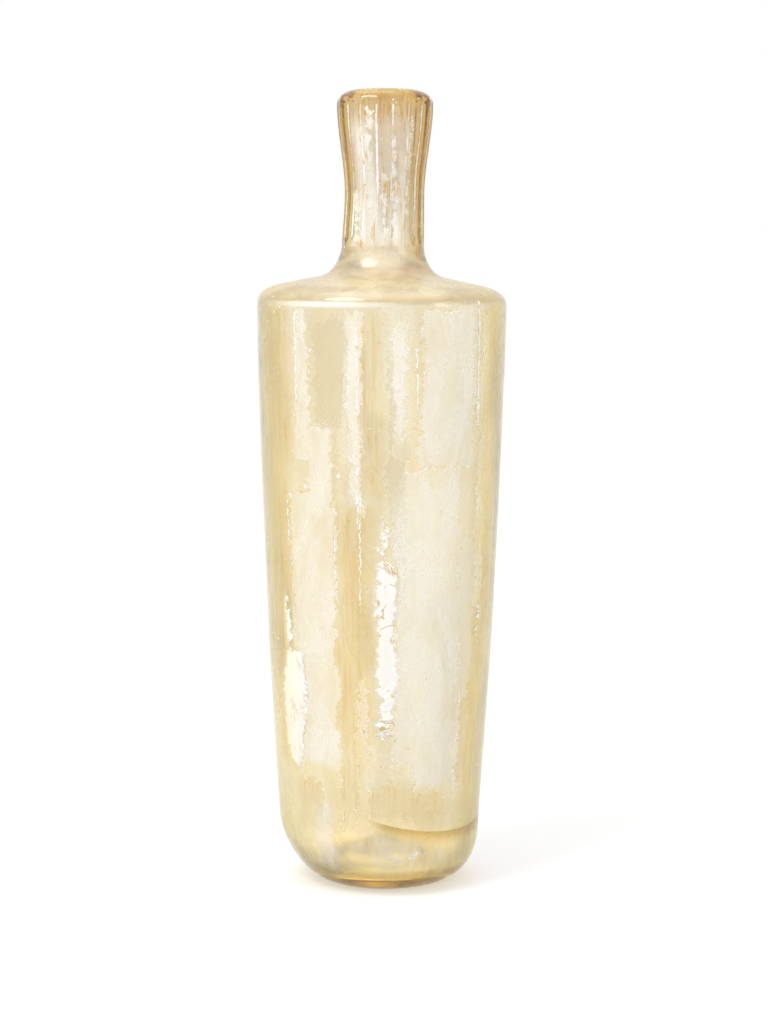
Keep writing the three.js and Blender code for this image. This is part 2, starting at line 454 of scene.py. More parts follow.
milky_and_highlight_patches = MILKY_FILM_AND_HIGHLIGHT + runs_behind(MILKY_RUNS_BEHIND, (90, 204), (40, 150), (5, 20))
crust_and_highlight_patches = WHITE_CRUST_AND_HIGHLIGHTS + runs_behind(CRUSTS_BEHIND, (60, 160), (12, 60), (3, 10))
grey_patches = GREY_FILM + runs_behind(GREY_RUNS_BEHIND, (120, 200), (30, 60), (5, 12))
stain_and_shade_patches = AMBER_STAIN_AND_SHADE + runs_behind(STAINS_BEHIND, (120, 204), (60, 150), (8, 18))
bore_patches = BORE_FILM + runs_behind(BORE_RUNS_BEHIND, (240, 272), (10, 40), (1, 4))
neck_stain_and_shade_patches = NECK_STAIN_AND_SHADE + runs_behind(NECK_RUNS_BEHIND, (255, 274), (10, 40), (3, 9))
neck_patches = NECK_FILM + runs_behind(NECK_RUNS_BEHIND, (240, 270), (12, 35), (1.2, 4.5))


def weather(vert):
    """Writes how deep a point lies in each kind of film."""
    x, y, z = vert.co
    place = Vector((x, y, z * RAGGED_DRAWN_UP)) / RAGGED_SIZE
    angle = math.degrees(math.atan2(x, -y))
    radius = math.hypot(x, y) / MM
    drift = noise.noise(place) + FINER_SHARE * noise.noise(place * FINER)
    height = z / MM + 2 * RAGGED_REACH * noise.noise(place + APART)
    on_body = radius > FILM_INNER_RADIUS and z < BODY_FILM_TOP
    for layer in (milky, crust, grey, amber):
        vert[layer] = -DEEPEST
    if on_body:
        stain_angle = angle + math.degrees(STAIN_REACH * drift / radius)
        vert[amber] = depth_in(stain_and_shade_patches, stain_angle, radius, height)
    if vert[skin] and z > BORE_FILM_START:
        vert[milky] = depth_in(bore_patches, angle, radius, height) + BORE_REACH * drift
    elif not vert[skin] and on_body:
        turned = angle + math.degrees(RAGGED_REACH * drift / radius)
        vert[milky] = depth_in(milky_and_highlight_patches, turned, radius, height)
        vert[crust] = depth_in(crust_and_highlight_patches, turned, radius, height)
        vert[grey] = depth_in(grey_patches, turned, radius, height)
    elif not vert[skin] and z > NECK_FILM_START:
        vert[milky] = depth_in(neck_patches, angle, radius, height) + NECK_REACH * drift
        vert[amber] = depth_in(neck_stain_and_shade_patches, angle, radius, height)


bottle_mesh = bmesh.new()
skin = bottle_mesh.verts.layers.float.new("inside")
milky = bottle_mesh.verts.layers.float.new("milky")
crust = bottle_mesh.verts.layers.float.new("crust")
grey = bottle_mesh.verts.layers.float.new("grey")
amber = bottle_mesh.verts.layers.float.new("amber")
arris = bottle_mesh.verts.layers.float.new("arris")
spin_profile(bottle_mesh, outside_profile(), FLATS * STEPS_PER_FLAT)
outside_count = len(bottle_mesh.verts)
spin_profile(bottle_mesh, inside_profile(), FLATS * STEPS_PER_FLAT)
bottle_mesh.verts.ensure_lookup_table()
for v in bottle_mesh.verts[outside_count:]:
    v[skin] = 1
bmesh.ops.remove_doubles(bottle_mesh, verts=bottle_mesh.verts, dist=1e-6)
bmesh.ops.recalc_face_normals(bottle_mesh, faces=bottle_mesh.faces)
for v in bottle_mesh.verts:
    weather(v)
    cut_flats(v)
for v in bottle_mesh.verts:
    shape_by_hand(v)

# Seeds are small bubbles shut in the wall, drawn out upwards by the blowing. Their faces point into the
# bubble. Their depths below the outside and their radii are in mm.
SEEDS_IN_BODY = 110
SEEDS_IN_NECK = 45
BODY_SEED_DEPTHS = (1.1, 1.5)
NECK_SEED_DEPTHS = (1.5, 5.5)
SEED_RADII = (0.1, 0.26)
SEED_DRAWN_OUT = (1.2, 2.8)

outer_skin = [v.co.copy() for v in bottle_mesh.verts if not v[skin]]


def skin_between(low, high, radius=0):
    """The points of the outer skin between two heights, further out than a radius."""
    return [co for co in outer_skin if low < co.z < high and math.hypot(co.x, co.y) > radius]


seed_mesh = bmesh.new()
body_seeds = (skin_between(30 * MM, 200 * MM), SEEDS_IN_BODY, BODY_SEED_DEPTHS)
neck_seeds = (skin_between(230 * MM, 272 * MM, 13 * MM), SEEDS_IN_NECK, NECK_SEED_DEPTHS)
for spots, count, depths in (body_seeds, neck_seeds):
    for surface_point in chance.sample(spots, count):
        outward = Vector((surface_point.x, surface_point.y, 0)).normalized()
        seed_centre = surface_point - outward * chance.uniform(*depths) * MM
        size = chance.uniform(*SEED_RADII) * MM
        drawn_out = Matrix.Diagonal((size, size, size * chance.uniform(*SEED_DRAWN_OUT), 1))
        place = Matrix.Translation(seed_centre) @ drawn_out
        bmesh.ops.create_icosphere(seed_mesh, subdivisions=2, radius=1, matrix=place)
for name in ("milky", "crust", "grey", "amber"):
    layer = seed_mesh.verts.layers.float.new(name)
    for v in seed_mesh.verts:
        v[layer] = -DEEPEST
bmesh.ops.reverse_faces(seed_mesh, faces=seed_mesh.faces)
seed_data = bpy.data.meshes.new("seeds")
seed_mesh.to_mesh(seed_data)
seed_mesh.free()
bottle_mesh.from_mesh(seed_data)
bpy.data.meshes.remove(seed_data)

bottle_data = bpy.data.meshes.new("bottle_glass")
bottle_mesh.to_mesh(bottle_data)
bottle_mesh.free()
bottle_data.shade_smooth()
bottle_glass = bpy.data.objects.new("bottle_glass", bottle_data)
bpy.context.scene.collection.objects.link(bottle_glass)

# The glass is tinted all through. Its finish adds the brown stain on the inside, and the films and the crust
# outside. It also paints light: highlights on the ridge, the heel and the neck's foot, shade at the sides,
# and a dark contact shade at the very bottom of the foot.
GLASS_IOR = 1.52
GLASS_TINT = (0.761, 0.582, 0.015, 1)
GLASS_DENSITY = 52
STAIN_LIGHT = (0.99, 0.96, 0.86, 1)
STAIN_DEEP = (0.93, 0.82, 0.5, 1)
CLEAR = (1, 1, 1, 1)
DEEP_AMBER = (0.78, 0.56, 0.2, 1)
GLOW_AMBER = (1, 0.85, 0.25, 1)
TIDE_AND_SHADE_AMBER = (0.54, 0.37, 0.08, 1)
FOOT_AMBER = (0.88, 0.7, 0.14, 1)
MILKY = (0.99, 0.97, 0.92, 1)
WARM_FILM = (0.97, 0.87, 0.62, 1)
SHOULDER_FILM = (0.79, 0.69, 0.5, 1)
HEEL_FILM = (1, 0.93, 0.7, 1)
NECK_FOOT_FILM_AND_GLOW = (0.88, 0.8, 0.63, 1)
CRUST_AND_HIGHLIGHT_WHITE = (1, 0.985, 0.95, 1)
CRUST_CRACK = (0.66, 0.48, 0.24, 1)
GREY = (0.82, 0.76, 0.62, 1)
PALE_GREY = (0.96, 0.93, 0.86, 1)
CONTACT_SHADE_COLOUR = (0.22, 0.14, 0.03, 1)

# Bands round the bottle. Each has the heights in mm where it starts, is whole, begins to fade and ends.
HEEL_BAND = (3, 10, 14, 45)
BARRED_BAND = (46, 50, 64, 70)
RIDGE_BAND = (203.8, 205, 205.7, 206.7)
ABOVE_RIDGE_BAND = (206.1, 206.5, 206.8, 208.8)
SHOULDER_BAND = (204, 209, 212, 223)
NECK_FOOT_BAND = (212.5, 220.5, 222, 230)
CREST_BAND = (276.3, 276.8, 277.7, 278.2)

# Heights in mm between which one finish gives way to the next.
CONTACT_SHADE_TOP = (1.1, 2)
CLEAR_FOOT_TOP = (3, 12)
AMBER_FOOT_TOP = (3, 13)
GREY_TURNS = (130, 150)
BODY_ENDS_INSIDE = (214, 222)
NECK_STARTS = (216, 228)
NECK_SIDES_DEEPEN = (232, 250)
VEIL_AND_LIGHT_THIN = (262, 273)
LIP_STARTS = (273.5, 276.5)

# These angles in radians give where the painted highlight on the ridge round the shoulder is brightest, where
# the veil on the neck, which also paints the front of the neck lighter, is thickest, and where the painted
# highlight on the heel lies. Angles count from the front, up to the right.
RIDGE_HIGHLIGHT_ANGLE = -0.44
VEIL_AND_LIGHT_ANGLE = -0.05
HEEL_HIGHLIGHT_ANGLE = -0.55

# A brown line that standing water left low on the right: the angle and height of its lowest point, its bend,
# its width, where it starts and ends, and how far it fades there.
TIDE_ANGLE = math.radians(52)
TIDE_HEIGHT = 22.4 * MM
TIDE_BEND = 5.9 * MM
TIDE_WIDTH = 6 * MM
TIDE_START = math.radians(-7)
TIDE_START_FADE = 0.2
TIDE_END = math.radians(108)
TIDE_END_FADE = 0.4

# White lines left by cracks: angle at head and foot in degrees, head, foot and width in mm.
CRACK_LINES = [
    (49.3, 50.2, 206, 166, 0.9),
    (15.8, 16.6, 190, 171, 0.6),
    (-9.6, -9.8, 141, 104, 0.4),
    (-49.8, -49.5, 138, 126, 0.6),
    (-41.9, -42, 204, 171, 0.7),
    (-10.9, -10.7, 197, 170, 0.7),
    (-10.7, -11, 150, 134, 0.8),
    (55.6, 57.2, 124, 111, 0.7),
    (11.2, 11.6, 140, 104, 0.35),
    (-22.2, -21.4, 128, 106, 0.5),
]


def tree_of(*values):
    """The node tree that holds the first output among some values."""
    return next(value.id_data for value in values if isinstance(value, bpy.types.NodeSocket))


def feed(value, socket):
    """Links an output to a socket, or sets the socket to a number or colour."""
    if isinstance(value, bpy.types.NodeSocket):
        socket.id_data.links.new(value, socket)
    else:
        socket.default_value = value


def calc(operation, *terms):
    """A difference, power or other step on one to three values."""
    step = tree_of(*terms).nodes.new("ShaderNodeMath")
    step.operation = operation
    for term, socket in zip(terms, step.inputs):
        feed(term, socket)
    return step.outputs["Value"]


def product(first, *others):
    """Some values multiplied together."""
    for other in others:
        first = calc("MULTIPLY", first, other)
    return first


def most(first, *others):
    """The greatest of some values."""
    for other in others:
        first = calc("MAXIMUM", first, other)
    return first


def add_share(base, share, value):
    """A value with a share of another one added."""
    return calc("MULTIPLY_ADD", value, share, base)


def distance(value, middle):
    """How far a value lies from a middle one, on either side."""
    return calc("ABSOLUTE", calc("SUBTRACT", value, middle))


def rise(value, low, high, start=0, end=1):
    """A smooth rise from start at low to end at high."""
    step = tree_of(value).nodes.new("ShaderNodeMapRange")
    step.interpolation_type = "SMOOTHSTEP"
    feed(value, step.inputs["Value"])
    for name, number in (("From Min", low), ("From Max", high), ("To Min", start), ("To Max", end)):
        feed(number, step.inputs[name])
    return step.outputs["Result"]


def mix_colours(share, first, second):
    """A mix of two colours."""
    step = tree_of(share).nodes.new("ShaderNodeMix")
    step.data_type = "RGBA"
    feed(share, step.inputs["Factor"])
    feed(first, step.inputs[6])
    feed(second, step.inputs[7])
    return step.outputs[2]


def clouds(place, size, detail=3, distortion=0):
    """Soft noise from 0 to 1, with its blotches about the given size across."""
    step = tree_of(place).nodes.new("ShaderNodeTexNoise")
    feed(place, step.inputs["Vector"])
    step.inputs["Scale"].default_value = 1 / size
    step.inputs["Detail"].default_value = detail
    step.inputs["Distortion"].default_value = distortion
    return step.outputs["Fac"]


def drawn_up(place, share):
    """Coordinates with their height scaled: a share under 1 draws a pattern out upwards."""
    step = tree_of(place).nodes.new("ShaderNodeVectorMath")
    step.operation = "MULTIPLY"
    feed(place, step.inputs[0])
    step.inputs[1].default_value = (1, 1, share)
    return step.outputs["Vector"]


def surface_value(tree, name):
    """A value that the mesh carries at its points."""
    step = tree.nodes.new("ShaderNodeAttribute")
    step.attribute_name = name
    return step.outputs["Fac"]


glass = bpy.data.materials.new("amber_glass")
glass.use_nodes = True
glass_tree = glass.node_tree
surface = glass_tree.nodes["Principled BSDF"]
surface.inputs["IOR"].default_value = GLASS_IOR
glass_place = glass_tree.nodes.new("ShaderNodeTexCoord").outputs["Object"]
axes = glass_tree.nodes.new("ShaderNodeSeparateXYZ")
feed(glass_place, axes.inputs["Vector"])
height = axes.outputs["Z"]
angle = calc("ARCTAN2", axes.outputs["X"], calc("MULTIPLY", axes.outputs["Y"], -1))
from_front = calc("ABSOLUTE", angle)
inside = surface_value(glass_tree, "inside")
outside = calc("SUBTRACT", 1, inside)


def above(low, high, start=0, end=1):
    """A rise between two heights in mm."""
    return rise(height, low * MM, high * MM, start, end)


def between(start, full, fade, end):
    """1 in a band of heights in mm, with soft edges."""
    return product(above(start, full), above(fade, end, 1, 0))


on_heel = between(*HEEL_BAND)
on_ridge = between(*RIDGE_BAND)
on_shoulder = between(*SHOULDER_BAND)
on_neck_foot = between(*NECK_FOOT_BAND)
on_neck = above(*NECK_STARTS)
on_lip = above(*LIP_STARTS)
in_body = product(inside, above(*BODY_ENDS_INSIDE, 1, 0))

# The patches' edges are made ragged, and each kind is mottled.
ragged = calc("SUBTRACT", clouds(glass_place, 2.2 * MM, detail=6), 0.5)
crust_depth = add_share(surface_value(glass_tree, "crust"), 7, ragged)
milky_depth = add_share(surface_value(glass_tree, "milky"), 7, ragged)
grey_depth = add_share(surface_value(glass_tree, "grey"), 6, ragged)
crust_share = rise(crust_depth, -0.4, 1.3)
milky_share = rise(milky_depth, -0.3, 0.9)
grey_share = rise(grey_depth, -0.2, 1)
mottle = clouds(drawn_up(glass_place, 0.45), 9 * MM, detail=6, distortion=0.6)
swirl = clouds(glass_place, 14 * MM, detail=2, distortion=1)
grain = clouds(glass_place, 1.2 * MM, detail=4)
body_milk = product(milky_share, rise(mottle, 0.3, 0.7, 0.28, 0.58))
neck_milk = product(milky_share, rise(mottle, 0.3, 0.7, 0.6, 0.9), on_neck)
milky_cover = most(body_milk, neck_milk)
grey_cover = product(grey_share, above(*GREY_TURNS, 0.42, 0.2))

# A thin haze lies everywhere but on the foot, thicker on the heel and the shoulder. A veil of it covers the
# front of the neck, where it also paints the neck lighter. White painted highlights lie along the ridge and
# low on the heel, and a film at the neck's foot also paints a glow round the highlight there.
haze_and_painted_light = rise(mottle, 0.3, 0.75, 0.05, 0.14)
heel_haze = product(on_heel, rise(mottle, 0.3, 0.7, 0.28, 0.5))
# Painted highlight along the ridge, brightest at the front left.
ridge_highlight = product(on_ridge, rise(distance(angle, RIDGE_HIGHLIGHT_ANGLE), 0.1, 0.7, 0.9, 0.1))
clear_foot = above(*CLEAR_FOOT_TOP, 1, 0)
for zone, share in ((heel_haze, 1), (clear_foot, -0.1), (on_neck, -0.05), (ridge_highlight, 0.9)):
    haze_and_painted_light = add_share(haze_and_painted_light, share, zone)
# Partly film, partly painted light: thickest at the front of the neck, which it lightens.
veil_and_light_streaks = clouds(drawn_up(glass_place, 0.12), 6 * MM)
veil_and_front_light = product(rise(distance(angle, VEIL_AND_LIGHT_ANGLE), 0.5, 0.95, 0.7, 0.12), on_neck)
veil_and_front_light = product(veil_and_front_light, rise(veil_and_light_streaks, 0.35, 0.6, 0.5, 1), above(*VEIL_AND_LIGHT_THIN, 1, 0.25))
# Painted highlight: a soft white streak low on the heel, at the front left.
heel_highlight = product(rise(distance(angle, HEEL_HIGHLIGHT_ANGLE), 0.02, 0.15, 0.55, 0), on_heel, outside)
shoulder_film = product(on_shoulder, rise(swirl, 0.3, 0.7, 0.5, 0.75))
# Partly film, partly a painted glow round the highlight at the neck's foot, strongest at the front.
neck_foot_film_and_glow = product(on_neck_foot, rise(from_front, 0.1, 1.1, 0.62, 0.15))
crest_film = product(between(*CREST_BAND), rise(angle, -0.9, -0.7, 0, 0.2), rise(angle, 0.2, 0.5, 1, 0))
haze_and_painted_light = most(haze_and_painted_light, veil_and_front_light, heel_highlight, neck_foot_film_and_glow, shoulder_film, crest_film)

# Fine bright lines run along the milky film's edges and curl over the glass.
edge_line = rise(distance(milky_depth, 0.1), 0.08, 0.28, 0.75, 0)
edge_cover = product(edge_line, rise(clouds(glass_place, 8 * MM, detail=1), 0.4, 0.56))
curl = clouds(glass_place, 5 * MM, detail=2, distortion=1.5)
curl_line = rise(distance(curl, 0.5), 0.002, 0.012, 0.4, 0)
curl_cover = product(curl_line, rise(clouds(glass_place, 14 * MM, detail=1), 0.42, 0.6))
film_and_painted_light_cover = most(milky_cover, haze_and_painted_light, grey_cover, edge_cover, curl_cover)

# The crust is cracked, and in one stretch of the front strip the cracks are level bars.
crack = clouds(drawn_up(glass_place, 0.6), 7 * MM, detail=5, distortion=1.2)
crack_here = rise(clouds(glass_place, 9 * MM, detail=2), 0.42, 0.6)
crack_share = product(rise(distance(crack, 0.5), 0.003, 0.03, 1, 0), crack_here)
bars = clouds(drawn_up(glass_place, 4), 7 * MM, distortion=0.4)
barred = product(between(*BARRED_BAND), rise(angle, -0.3, -0.15))
crack_share = most(crack_share, product(rise(bars, 0.47, 0.56), barred))
crack_share = product(crack_share, rise(angle, -0.95, -0.4, 0.3, 1))
crust_whole = calc("SUBTRACT", rise(mottle, 0.25, 0.7, 0.78, 0.98), product(crack_share, 0.45))


def crack_line(angle_head, angle_foot, head, foot, width):
    """How much of a white line covers a point of the outside."""
    lean = math.radians(angle_head - angle_foot) / ((head - foot) * MM)
    middle = add_share(math.radians(angle_foot) - foot * MM * lean, lean, height)
    aside = product(calc("SUBTRACT", angle, middle), BODY_RADIUS / MM)
    aside = calc("ABSOLUTE", add_share(aside, 3, ragged))
    line = rise(aside, width * 0.35, width * 0.8, 1, 0)
    return product(line, above(head, head + 1, 1, 0), above(foot - 6, foot + 3))


# White lines, specks and the whitened arrises of the neck's flats are as opaque as the crust. The arris lines
# are partly wear and partly painted highlights, where the edges catch the light.
lines = most(0, *(crack_line(*line) for line in CRACK_LINES))
beads = rise(clouds(glass_place, 2 * MM, detail=2), 0.35, 0.55, 0.25, 0.95)
specks = glass_tree.nodes.new("ShaderNodeTexVoronoi")
specks.inputs["Scale"].default_value = 1 / (5 * MM)
feed(glass_place, specks.inputs["Vector"])
speck_here = rise(clouds(glass_place, 22 * MM, detail=1), 0.48, 0.58)
speck_cover = product(rise(specks.outputs["Distance"], 0.05, 0.1, 0.9, 0), speck_here, outside)
# Painted highlights and wear along the arrises, broken up along their length.
arris_wear_and_glint = rise(clouds(drawn_up(glass_place, 0.12), 3.5 * MM, detail=2), 0.36, 0.6)
from_arris = add_share(surface_value(glass_tree, "arris"), 0.8, ragged)
arris_line = rise(from_arris, 0.1, add_share(0.25, 0.5, arris_wear_and_glint), 0.98, 0)
arris_cover = product(arris_line, rise(arris_wear_and_glint, 0, 1, 0.6, 1))
crust_and_glint_cover = most(
    product(crust_share, crust_whole), product(lines, beads, outside), speck_cover, arris_cover
)

# All that lies on the glass covers less of it inside the body, and at the back, which is seen through it.
# A dark band round the very bottom of the foot is painted contact shade, where the glass meets the paper.
contact_shade = above(*CONTACT_SHADE_TOP, 0.4, 0)
cover = most(film_and_painted_light_cover, crust_and_glint_cover, contact_shade)
cover = product(cover, rise(in_body, 0, 1, 1, 0.3), rise(from_front, 1.35, 1.8, 1, 0.4))
frosted = most(milky_share, grey_share, product(on_shoulder, 0.5), product(on_heel, 0.6))

# The stain runs down in streaks and fine threads. Its wide runs at the sides also paint the edges' darker
# shade.
stain_and_shade_depth = surface_value(glass_tree, "amber")
threads = clouds(drawn_up(glass_place, 0.03), 1.3 * MM, detail=2)
streaks = clouds(drawn_up(glass_place, 0.05), 4 * MM, detail=4)
streaks = add_share(streaks, 0.6, calc("SUBTRACT", threads, 0.5))
stained_and_shaded = add_share(rise(streaks, 0.35, 0.7, 0, 0.3), 0.75, rise(stain_and_shade_depth, -3, 2.5))
deep_stain_and_shade = rise(stain_and_shade_depth, -1, 3)
ripple = clouds(drawn_up(glass_place, 0.5), 8 * MM, detail=3, distortion=2)
stain_and_shade_outside = add_share(product(rise(threads, 0.45, 0.6, 0, 0.3), deep_stain_and_shade), 0.25, stained_and_shaded)
stain_and_shade_outside = add_share(stain_and_shade_outside, 0.9, product(deep_stain_and_shade, on_neck))
stain_and_shade_outside = calc("ADD", on_lip, stain_and_shade_outside)
stain_and_shade_outside = add_share(stain_and_shade_outside, 0.3, rise(distance(ripple, 0.5), 0.002, 0.02, 1, 0))

# The films take their colours from the zone that they lie in.
warm = most(on_heel, on_shoulder, deep_stain_and_shade)
grey_colour = mix_colours(above(*GREY_TURNS), PALE_GREY, GREY)
crust_and_glint_colour = mix_colours(crack_share, CRUST_AND_HIGHLIGHT_WHITE, CRUST_CRACK)
film_colour = mix_colours(warm, MILKY, WARM_FILM)
film_colour = mix_colours(on_shoulder, film_colour, SHOULDER_FILM)
film_colour = mix_colours(on_heel, film_colour, HEEL_FILM)
film_colour = mix_colours(on_neck_foot, film_colour, NECK_FOOT_FILM_AND_GLOW)
# The painted highlight on the heel is white.
film_colour = mix_colours(rise(heel_highlight, 0, 0.3), film_colour, CRUST_AND_HIGHLIGHT_WHITE)
film_colour = mix_colours(grey_share, film_colour, grey_colour)
film_colour = mix_colours(rise(crust_and_glint_cover, 0, 0.4), film_colour, crust_and_glint_colour)
filmed = most(product(frosted, 0.85), rise(cover, 0.05, 0.35))
colour = mix_colours(filmed, mix_colours(stain_and_shade_outside, CLEAR, DEEP_AMBER), film_colour)

# Where the light's way through the glass is long, at the edges and in the foot, it comes out deeper.
grazing = glass_tree.nodes.new("ShaderNodeLayerWeight").outputs["Facing"]
long_path = rise(grazing, 0.2, 0.95)
glow = product(long_path, rise(on_shoulder, 0, 1, 0.9, 0.1), rise(on_neck_foot, 0, 1, 1, 0.3))
colour = mix_colours(glow, colour, GLOW_AMBER)
colour = mix_colours(above(*AMBER_FOOT_TOP, 0.8, 0), colour, FOOT_AMBER)

# Darker amber lies above the ridge and in fine seams up the neck. Painted shade darkens the neck's sides and
# the shoulder's edges, away from the front.
ridge_shade = product(between(*ABOVE_RIDGE_BAND), rise(angle, -0.3, 0.1, 0.1, 0.4))
seam = clouds(drawn_up(glass_place, 0.04), 3 * MM, detail=2)
seam_shade = product(rise(distance(seam, 0.5), 0.004, 0.02, 0.8, 0), on_neck)
# Painted shade on the neck's sides, away from the front.
neck_shade = product(rise(from_front, 0.7, 1.2), above(*NECK_SIDES_DEEPEN, 0.15, 0.9), on_neck)
colour = mix_colours(most(ridge_shade, seam_shade, neck_shade), colour, DEEP_AMBER)
# Painted shade at the shoulder's edges, deepened where the light's way through the glass is long.
shoulder_shade = add_share(rise(from_front, 0.3, 1.1, 0, 0.25), 0.25, long_path)
colour = mix_colours(product(shoulder_shade, on_shoulder), colour, TIDE_AND_SHADE_AMBER)

# The tide line is sharp above and fades downwards.
tide_height = calc("POWER", calc("SUBTRACT", angle, TIDE_ANGLE), 2)
tide_height = add_share(TIDE_HEIGHT, TIDE_BEND, tide_height)
below_tide = calc("SUBTRACT", tide_height, height)
tide = product(rise(below_tide, -0.3 * MM, 0.1 * MM), rise(below_tide, 0, TIDE_WIDTH, 1, 0))
tide = product(tide, rise(angle, TIDE_START, TIDE_START + TIDE_START_FADE))
tide = product(tide, rise(angle, TIDE_END - TIDE_END_FADE, TIDE_END, 1, 0))
colour = mix_colours(product(tide, 0.9), colour, TIDE_AND_SHADE_AMBER)
# The painted contact shade darkens the very bottom of the foot.
colour = mix_colours(contact_shade, colour, CONTACT_SHADE_COLOUR)

inside_stain_and_shade = mix_colours(stained_and_shaded, STAIN_LIGHT, STAIN_DEEP)
inside_stain_and_shade = mix_colours(product(long_path, 0.6), inside_stain_and_shade, GLOW_AMBER)
feed(mix_colours(in_body, colour, inside_stain_and_shade), surface.inputs["Base Color"])
feed(calc("SUBTRACT", 1, cover), surface.inputs["Transmission Weight"])
rough = rise(cover, 0.4, 1, 0.05, 0.35)
for zone, share in ((product(frosted, outside), 0.2), (on_neck_foot, 0.16), (in_body, 0.13)):
    rough = add_share(rough, share, zone)
feed(rough, surface.inputs["Roughness"])

relief = add_share(product(milky_share, 0.15), 0.6, crust_and_glint_cover)
relief = add_share(relief, 0.5, product(grain, cover))
bump = glass_tree.nodes.new("ShaderNodeBump")
bump.inputs["Strength"].default_value = 0.6
bump.inputs["Distance"].default_value = 0.4 * MM
feed(relief, bump.inputs["Height"])
feed(bump.outputs["Normal"], surface.inputs["Normal"])


def tint_through(tree):
    """Gives a piece of glass its tint, which deepens with the light's way through it."""
    tint = tree.nodes.new("ShaderNodeVolumeAbsorption")
    tint.inputs["Color"].default_value = GLASS_TINT
    tint.inputs["Density"].default_value = GLASS_DENSITY
    feed(tint.outputs["Volume"], tree.nodes["Material Output"].inputs["Volume"])


tint_through(glass_tree)
bottle_data.materials.append(glass)

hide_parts("bottle")
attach(bottle_glass, "root")

# The pontil wad
# The glass that the holding iron left when it was cracked off: a low ring with a rough broken face, stuck
# under the middle of the kick.
WAD_INNER_RADIUS = 3.2 * MM
WAD_RADIUS = 7.6 * MM
WAD_THICKNESS = 1.25 * MM
WAD_EDGE_SHARE = 0.35
WAD_GAP = 0.3 * MM
WAD_ROUGHNESS = 0.3 * MM
SMALL_CHIP = 1.1 * MM
LARGE_CHIP = 2.4 * MM
BROKEN_CLEAR = (0.97, 0.9, 0.7, 1)
BROKEN_DUSTY = (0.92, 0.84, 0.66, 1)


def under_kick(across):
    """A point just under the kick, from -1 at the wad's inner edge to 1 at its outer one."""
    radius = (WAD_RADIUS + WAD_INNER_RADIUS) / 2 + (WAD_RADIUS - WAD_INNER_RADIUS) / 2 * across
    return spot(radius, KICK_HEIGHT * (1 - (radius / rest_inner.x) ** 2) - WAD_GAP)


def broken_face(across):
    """A point of the wad's lower face, which is fullest at its middle."""
    depth = WAD_THICKNESS * (WAD_EDGE_SHARE + (1 - WAD_EDGE_SHARE) * math.sqrt(1 - across**2))
    return under_kick(across) - spot(0, depth)


wad_mesh = bmesh.new()
steps_across = [i / 10 - 1 for i in range(21)]
wad_top = [under_kick(across) for across in steps_across]
wad_face = [broken_face(across) for across in reversed(steps_across)]
spin_profile(wad_mesh, [wad_top, wad_face, wad_top[:1]], 120)
for v in wad_mesh.verts:
    below = under_kick(0).z - WAD_THICKNESS / 2 - v.co.z
    chip = noise.noise(v.co / SMALL_CHIP) + 0.6 * abs(noise.noise(v.co / LARGE_CHIP))
    v.co.z += WAD_ROUGHNESS * chip * smooth(below, 0, WAD_THICKNESS / 4)
wad_data = bpy.data.meshes.new("wad")
wad_mesh.to_mesh(wad_data)
wad_mesh.free()
wad_data.shade_smooth()
wad = bpy.data.objects.new("wad", wad_data)
bpy.context.scene.collection.objects.link(wad)

wad_glass = bpy.data.materials.new("wad_glass")
wad_glass.use_nodes = True
wad_tree = wad_glass.node_tree
broken = wad_tree.nodes["Principled BSDF"]
broken.inputs["IOR"].default_value = GLASS_IOR
wad_place = wad_tree.nodes.new("ShaderNodeTexCoord").outputs["Object"]
dust = rise(clouds(wad_place, 1.6 * MM, detail=4), 0.4, 0.65)
feed(mix_colours(dust, BROKEN_CLEAR, BROKEN_DUSTY), broken.inputs["Base Color"])
feed(rise(dust, 0, 1, 0.97, 0.7), broken.inputs["Transmission Weight"])
feed(rise(dust, 0, 1, 0.12, 0.5), broken.inputs["Roughness"])
wad_bump = wad_tree.nodes.new("ShaderNodeBump")
wad_bump.inputs["Strength"].default_value = 0.5
wad_bump.inputs["Distance"].default_value = 0.2 * MM
feed(clouds(wad_place, 0.6 * MM), wad_bump.inputs["Height"])
feed(wad_bump.outputs["Normal"], broken.inputs["Normal"])
tint_through(wad_tree)
wad_data.materials.append(wad_glass)

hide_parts("pontil_wad")
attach(wad, "root")

# The floor
# A sheet of white paper. It keeps the bottle's shadow, has a painted dark contact shadow in a ring where the
# glass touches it and a painted warm light close by, and fades into the white room further out. Seen through
# the glass it is brighter just under the bottle, where the glass gathers light.
FLOOR_RADIUS = 3
PAPER_WHITE = (0.46, 0.46, 0.46, 1)
CONTACT_SHADOW = (0.2, 0.14, 0.04, 1)
AMBER_LIGHT = (1, 0.93, 0.78, 1)
WHITE = (1, 1, 1, 1)
NEAR_FLOOR = 0.25
NEAR_GLOW = 0.55
FAR_GLOW = 0.7
GATHERED_GLOW = 0.85
GATHERED_MIRRORED = 0.2
CONTACT_RADIUS = 20.6 * MM
CONTACT_ASIDE = 1.6 * MM
AMBER_LIGHT_FADE = 22 * MM
AMBER_LIGHT_END = 42 * MM

floor_mesh = bmesh.new()
bmesh.ops.create_circle(floor_mesh, cap_ends=True, segments=64, radius=FLOOR_RADIUS)
floor_data = bpy.data.meshes.new("floor")
floor_mesh.to_mesh(floor_data)
floor_mesh.free()
floor = bpy.data.objects.new("floor", floor_data)
bpy.context.scene.collection.objects.link(floor)


def seen_in_glass(ray):
    """1 on the rays that the glass mirrors or lets through."""
    return most(ray["Is Glossy Ray"], ray["Is Transmission Ray"])


def seen_directly(ray):
    """1 on the rays that show a background: straight from the camera, mirrored, or through glass."""
    return most(ray["Is Camera Ray"], seen_in_glass(ray))


def straight_between(value, low, high, start, end):
    """A straight change from start at low to end at high."""
    step = tree_of(value).nodes.new("ShaderNodeMapRange")
    for name, number in (("From Min", low), ("From Max", high), ("To Min", start), ("To Max", end)):
        step.inputs[name].default_value = number
    feed(value, step.inputs["Value"])
    return step.outputs["Result"]


